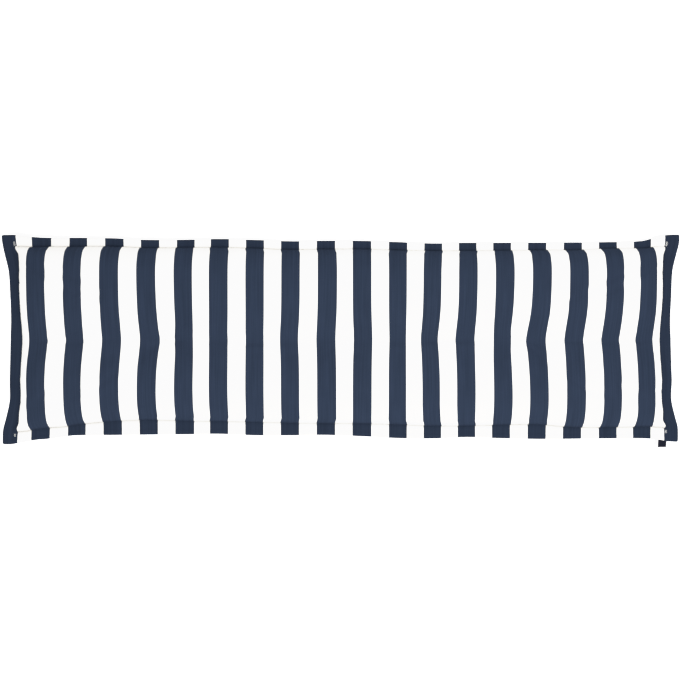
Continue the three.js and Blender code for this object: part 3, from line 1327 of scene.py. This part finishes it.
class BENCHCUSHION_OT_corner_tacks(Operator):
    """Tack the four corners of the border's seam"""

    bl_idname = "bench_cushion.corner_tacks"
    bl_label = "Corner tacks"

    def execute(self, context):
        thread = context.scene.bench_thread
        shape = CushionShape(context.scene.bench_cover)
        half = thread.tack_width / MM / 2
        paths = []
        for x, y, length in TACKS:
            u = shape.cloth_place(x, y)
            across = y + np.linspace(-length / 2, length / 2, 9)
            lines = [shape.rest(u + side, across, True) for side in (-half, 0, half)]
            path = lines[1]
            path[:, 2] = np.max([line[:, 2] for line in lines], axis=0) + 0.1
            paths.append((path, (0, 0, 1), False))
        sizes = {
            "Pitch": 0.0009,
            "Stitch Length": thread.tack_width,
            "Thread Radius": 0.0002,
            "Turn": 1.35,
            "Unevenness": 0.1,
            "Seed": thread.seed + 20,
        }
        material = thread_material("light_thread", thread.light)
        piece = stitched_piece("corner_tacks", paths, material, sizes)
        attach(piece, "root")
        return {"FINISHED"}


class BENCHCUSHION_OT_side_label(Operator):
    """Fold the woven strip and set it in the front edge"""

    bl_idname = "bench_cushion.side_label"
    bl_label = "Side label"

    def execute(self, context):
        label = context.scene.bench_label
        low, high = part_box("side_label")
        width = (high.x - low.x) / MM
        middle = (high.x + low.x) / 2 / MM
        half = label.thickness / MM / 2
        reach = (high.y - low.y) / MM
        leg = reach - LABEL_BEND - half + LABEL_INSIDE
        straight = np.linspace(0, leg, 12)
        curve = np.linspace(math.pi / 2, -math.pi / 2, 10)[1:-1]
        bulge = LABEL_BULGE * np.sin(np.pi * straight / leg)
        gap = LABEL_BEND + bulge - LABEL_PINCH * (1 - straight / leg)
        line = np.concatenate(
            [
                np.stack([straight, gap], axis=1),
                np.stack([leg + LABEL_BEND * np.cos(curve), LABEL_BEND * np.sin(curve)], axis=1),
                np.stack([straight, -gap], axis=1)[::-1],
            ]
        )
        tangent = np.gradient(line, axis=0)
        tangent /= np.linalg.norm(tangent, axis=1, keepdims=True)
        normal = np.stack([-tangent[:, 1], tangent[:, 0]], axis=1)
        length = np.concatenate([[0], np.cumsum(np.linalg.norm(np.diff(line, axis=0), axis=1))])
        across = np.linspace(-width / 2, width / 2, 13)
        curl = LABEL_CURL * ((2 * across / width) ** 2 - 0.5)
        droop = label.droop
        root = (high.y / MM + LABEL_INSIDE, high.z / MM - LABEL_BEND - half)
        sides = []
        for side in (1, -1):
            section = line + side * half * normal
            s = section[:, 0][:, None] + 0 * across
            h = section[:, 1][:, None] + curl * (s / leg) ** 2
            x = middle + across[None, :] + 0 * s
            y = root[0] - s * math.cos(droop) + h * math.sin(droop)
            z = root[1] - s * math.sin(droop) + h * math.cos(droop)
            sides.append(np.stack([x, y, z], axis=-1))
        points = np.stack(sides)
        count, columns = points.shape[1:3]
        outer, inner = np.arange(2 * count * columns).reshape(2, count, columns)
        faces = grid_faces(outer).tolist() + grid_faces(inner)[:, ::-1].tolist()
        for a, b in ((outer[:, 0], inner[:, 0]), (inner[:, -1], outer[:, -1])):
            faces += [[a[i], a[i + 1], b[i + 1], b[i]] for i in range(count - 1)]
        for a, b in ((inner[0], outer[0]), (outer[-1], inner[-1])):
            faces += [[a[i], a[i + 1], b[i + 1], b[i]] for i in range(columns - 1)]
        faces = [[int(k) for k in face] for face in faces]
        piece = new_piece("woven_side_label", points, faces, label_cloth(label))
        layer = piece.data.uv_layers.new(name="strip")
        place_across = np.broadcast_to(across, (2, count, columns)).ravel() * MM
        place_along = np.broadcast_to(length[:, None], (2, count, columns)).ravel() * MM
        corner = np.array([loop.vertex_index for loop in piece.data.loops])
        uv = np.stack([place_across[corner], place_along[corner]], axis=-1)
        layer.data.foreach_set("uv", uv.ravel())
        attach(piece, "root")
        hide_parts("side_label")
        return {"FINISHED"}


class BENCHCUSHION_OT_stage(Operator):
    """Lay the pale floor, light it softly and hang the camera over the cushion"""

    bl_idname = "bench_cushion.stage"
    bl_label = "Floor, lights and camera"

    def execute(self, context):
        stage = context.scene.bench_stage
        scene = context.scene
        material, nodes = new_material("pale_floor")
        nodes.surface(
            Base_Color=colour(stage.floor),
            Roughness=0.9,
            Specular_IOR_Level=0.1,
            Emission_Color=(1.0, 1.0, 1.0, 1.0),
            Emission_Strength=0.45,
        )
        corners = [
            (FLOOR_REACH * x, FLOOR_REACH * y, -FLOOR_GAP)
            for x, y in ((-1, -1), (1, -1), (1, 1), (-1, 1))
        ]
        floor = new_piece("floor", corners, [(0, 1, 2, 3)], material)

        world = bpy.data.worlds.new("studio")
        world.use_nodes = True
        background = world.node_tree.nodes["Background"]
        background.inputs["Color"].default_value = (1.0, 1.0, 1.0, 1.0)
        background.inputs["Strength"].default_value = stage.ambient
        scene.world = world

        light = bpy.data.lights.new("main_light", "AREA")
        light.shape = "RECTANGLE"
        light.size, light.size_y = LIGHT_SIZE
        light.energy = stage.key
        lamp = bpy.data.objects.new("main_light", light)
        lamp.location = LIGHT_PLACE
        lamp.rotation_euler = Vector(LIGHT_PLACE).to_track_quat("Z", "Y").to_euler()
        scene.collection.objects.link(lamp)

        lens = bpy.data.cameras.new("camera")
        lens.lens = stage.lens
        lens.sensor_width = 36
        lens.shift_y = stage.shift
        lens.clip_start = 0.05
        lens.clip_end = 50
        camera = bpy.data.objects.new("camera", lens)
        camera.location = stage.camera
        scene.collection.objects.link(camera)
        scene.camera = camera
        scene.view_settings.view_transform = "Standard"
        scene.view_settings.look = "None"
        self.soften_highlights(scene.view_settings)
        return {"FINISHED"}

    def soften_highlights(self, view):
        """Show a bright studio exposure that still tells white cloth from the white floor."""
        view.use_curve_mapping = True
        mapping = view.curve_mapping
        mapping.white_level = (HIGHLIGHT_LEVEL, HIGHLIGHT_LEVEL, HIGHLIGHT_LEVEL)
        points = mapping.curves[3].points
        for light, shown in HIGHLIGHT_CURVE:
            points.new(light / HIGHLIGHT_LEVEL, shown)
        mapping.update()


class BENCHCUSHION_PT_panel(Panel):
    """Lists the pieces of the bench cushion and their sizes"""

    bl_idname = "BENCHCUSHION_PT_panel"
    bl_label = "Bench cushion"
    bl_space_type = "VIEW_3D"
    bl_region_type = "UI"
    bl_category = "Bench cushion"

    def draw(self, context):
        for operator, group in PANEL_ROWS:
            box = self.layout.box()
            box.operator(operator)
            settings = getattr(context.scene, group)
            for name in settings.bl_rna.properties.keys():
                if name not in ("rna_type", "name"):
                    box.prop(settings, name)


SETTINGS = {
    "bench_cover": CoverSettings,
    "bench_cloth": ClothSettings,
    "bench_thread": ThreadSettings,
    "bench_label": LabelSettings,
    "bench_stage": StageSettings,
}
OPERATORS = [
    BENCHCUSHION_OT_stage,
    BENCHCUSHION_OT_cover,
    BENCHCUSHION_OT_border_stitches,
    BENCHCUSHION_OT_tuft_ties,
    BENCHCUSHION_OT_corner_tacks,
    BENCHCUSHION_OT_side_label,
]
PANEL_ROWS = [
    ("bench_cushion.cover", "bench_cover"),
    ("bench_cushion.cover", "bench_cloth"),
    ("bench_cushion.border_stitches", "bench_thread"),
    ("bench_cushion.tuft_ties", "bench_thread"),
    ("bench_cushion.corner_tacks", "bench_thread"),
    ("bench_cushion.side_label", "bench_label"),
    ("bench_cushion.stage", "bench_stage"),
]
CLASSES = [*SETTINGS.values(), *OPERATORS, BENCHCUSHION_PT_panel]


def register():
    for cls in CLASSES:
        bpy.utils.register_class(cls)
    for name, group in SETTINGS.items():
        setattr(bpy.types.Scene, name, PointerProperty(type=group))


def unregister():
    for name in SETTINGS:
        delattr(bpy.types.Scene, name)
    for cls in reversed(CLASSES):
        bpy.utils.unregister_class(cls)


def main():
    register()
    bpy.ops.bench_cushion.stage()
    bpy.ops.bench_cushion.cover()
    bpy.ops.bench_cushion.border_stitches()
    bpy.ops.bench_cushion.tuft_ties()
    bpy.ops.bench_cushion.corner_tacks()
    bpy.ops.bench_cushion.side_label()


if __name__ == "__main__":
    main()
